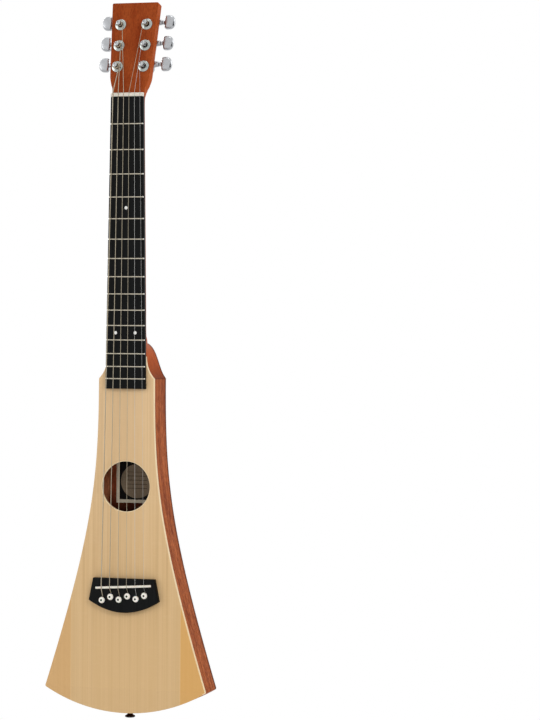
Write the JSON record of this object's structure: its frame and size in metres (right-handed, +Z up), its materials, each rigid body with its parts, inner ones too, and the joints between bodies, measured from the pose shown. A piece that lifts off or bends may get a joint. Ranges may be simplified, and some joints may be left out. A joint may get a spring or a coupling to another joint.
{
  "type": "travel guitar",
  "caption": "Narrow bell-shaped flat-top travel guitar with a round soundhole, steel strings, pinned bridge and geared tuners.",
  "frame": {"origin": "middle of the nut's face towards the fingerboard, on the plane where the fingerboard meets the neck; the guitar hangs there from a wall hanger whose arms pass under the headstock's flare", "axes": "+Z up the neck to the headstock, +X to the treble side, -Y out of the front, towards the player of the strings"},
  "size_m": [0.2132, 0.0579, 0.9024],
  "materials": {
    "neck_mahogany": "mahogany, rubbed to a soft gloss",
    "body_mahogany": "mahogany veneer, satin, open pores",
    "spruce_top": "spruce, satin, fine straight grain",
    "inner_wood": "bare wood",
    "fingerboard_black": "black, satin, with bright metal frets",
    "bridge_black": "black, satin",
    "ivory": "ivory coloured, satin",
    "pin_ivory": "ivory coloured with a black dot",
    "pearl": "white pearl",
    "label_paper": "charcoal field with a cream border",
    "chrome": "polished",
    "tuner_chrome": "satin chrome",
    "wound_string": "bronze wound",
    "plain_string": "bright plain steel"
  },
  "bodies": {
    "root": {"neck": "neck_mahogany", "fingerboard": "fingerboard_black", "nut": "ivory", "saddle": "ivory", "soundboard": "spruce_top", "back": "body_mahogany", "side_treble": "body_mahogany", "side_bass": "body_mahogany", "tail_block": "inner_wood", "bridge_plate": "inner_wood", "bridge": "bridge_black", "position_dot_5": "pearl", "position_dot_12_bass": "pearl", "position_dot_12_treble": "pearl", "lining_front_treble": "inner_wood", "lining_front_bass": "inner_wood", "lining_back_treble": "inner_wood", "lining_back_bass": "inner_wood", "brace_upper": "inner_wood", "brace_lower": "inner_wood", "brace_back": "inner_wood", "label": "label_paper", "strap_button_tail": "chrome", "strap_button_heel": "chrome", "string_6": "wound_string", "bridge_pin_6": "pin_ivory", "string_5": "wound_string", "bridge_pin_5": "pin_ivory", "string_4": "wound_string", "bridge_pin_4": "pin_ivory", "string_3": "wound_string", "bridge_pin_3": "pin_ivory", "string_2": "plain_string", "bridge_pin_2": "pin_ivory", "string_1": "plain_string", "bridge_pin_1": "pin_ivory", "tuner_6_housing": "tuner_chrome", "tuner_6_bushing": "tuner_chrome", "tuner_5_housing": "tuner_chrome", "tuner_5_bushing": "tuner_chrome", "tuner_4_housing": "tuner_chrome", "tuner_4_bushing": "tuner_chrome", "tuner_3_housing": "tuner_chrome", "tuner_3_bushing": "tuner_chrome", "tuner_2_housing": "tuner_chrome", "tuner_2_bushing": "tuner_chrome", "tuner_1_housing": "tuner_chrome", "tuner_1_bushing": "tuner_chrome"},
    "tuner_1_button": {"tuner_1_button": "tuner_chrome"},
    "tuner_1_post": {"tuner_1_post": "tuner_chrome"},
    "tuner_2_button": {"tuner_2_button": "tuner_chrome"},
    "tuner_2_post": {"tuner_2_post": "tuner_chrome"},
    "tuner_3_button": {"tuner_3_button": "tuner_chrome"},
    "tuner_3_post": {"tuner_3_post": "tuner_chrome"},
    "tuner_4_button": {"tuner_4_button": "tuner_chrome"},
    "tuner_4_post": {"tuner_4_post": "tuner_chrome"},
    "tuner_5_button": {"tuner_5_button": "tuner_chrome"},
    "tuner_5_post": {"tuner_5_post": "tuner_chrome"},
    "tuner_6_button": {"tuner_6_button": "tuner_chrome"},
    "tuner_6_post": {"tuner_6_post": "tuner_chrome"}
  },
  "joints": [
    {"name": "tuner_1_button_turn", "type": "hinge", "parent": "root", "child": "tuner_1_button", "pos_m": [0.0174, 0.02685, 0.0426], "axis": [1, 0, 0], "continuous": true},
    {"name": "tuner_1_post_turn", "type": "hinge", "parent": "root", "child": "tuner_1_post", "pos_m": [0.0174, 0.0071, 0.03852], "axis": [0, -0.9763, 0.2164], "continuous": true},
    {"name": "tuner_2_button_turn", "type": "hinge", "parent": "root", "child": "tuner_2_button", "pos_m": [0.0174, 0.03283, 0.06955], "axis": [1, 0, 0], "continuous": true},
    {"name": "tuner_2_post_turn", "type": "hinge", "parent": "root", "child": "tuner_2_post", "pos_m": [0.0174, 0.01307, 0.06547], "axis": [0, -0.9763, 0.2164], "continuous": true},
    {"name": "tuner_3_button_turn", "type": "hinge", "parent": "root", "child": "tuner_3_button", "pos_m": [0.0174, 0.0388, 0.0965], "axis": [1, 0, 0], "continuous": true},
    {"name": "tuner_3_post_turn", "type": "hinge", "parent": "root", "child": "tuner_3_post", "pos_m": [0.0174, 0.01905, 0.09241], "axis": [0, -0.9763, 0.2164], "continuous": true},
    {"name": "tuner_4_button_turn", "type": "hinge", "parent": "root", "child": "tuner_4_button", "pos_m": [-0.0174, 0.0388, 0.0965], "axis": [1, 0, 0], "continuous": true},
    {"name": "tuner_4_post_turn", "type": "hinge", "parent": "root", "child": "tuner_4_post", "pos_m": [-0.0174, 0.01905, 0.09241], "axis": [0, -0.9763, 0.2164], "continuous": true},
    {"name": "tuner_5_button_turn", "type": "hinge", "parent": "root", "child": "tuner_5_button", "pos_m": [-0.0174, 0.03283, 0.06955], "axis": [1, 0, 0], "continuous": true},
    {"name": "tuner_5_post_turn", "type": "hinge", "parent": "root", "child": "tuner_5_post", "pos_m": [-0.0174, 0.01307, 0.06547], "axis": [0, -0.9763, 0.2164], "continuous": true},
    {"name": "tuner_6_button_turn", "type": "hinge", "parent": "root", "child": "tuner_6_button", "pos_m": [-0.0174, 0.02685, 0.0426], "axis": [1, 0, 0], "continuous": true},
    {"name": "tuner_6_post_turn", "type": "hinge", "parent": "root", "child": "tuner_6_post", "pos_m": [-0.0174, 0.0071, 0.03852], "axis": [0, -0.9763, 0.2164], "continuous": true}
  ],
  "couplings": [
    {"joint": "tuner_1_post_turn", "follows": "tuner_1_button_turn", "ratio": 0.071429},
    {"joint": "tuner_2_post_turn", "follows": "tuner_2_button_turn", "ratio": 0.071429},
    {"joint": "tuner_3_post_turn", "follows": "tuner_3_button_turn", "ratio": 0.071429},
    {"joint": "tuner_4_post_turn", "follows": "tuner_4_button_turn", "ratio": -0.071429},
    {"joint": "tuner_5_post_turn", "follows": "tuner_5_button_turn", "ratio": -0.071429},
    {"joint": "tuner_6_post_turn", "follows": "tuner_6_button_turn", "ratio": -0.071429}
  ]
}
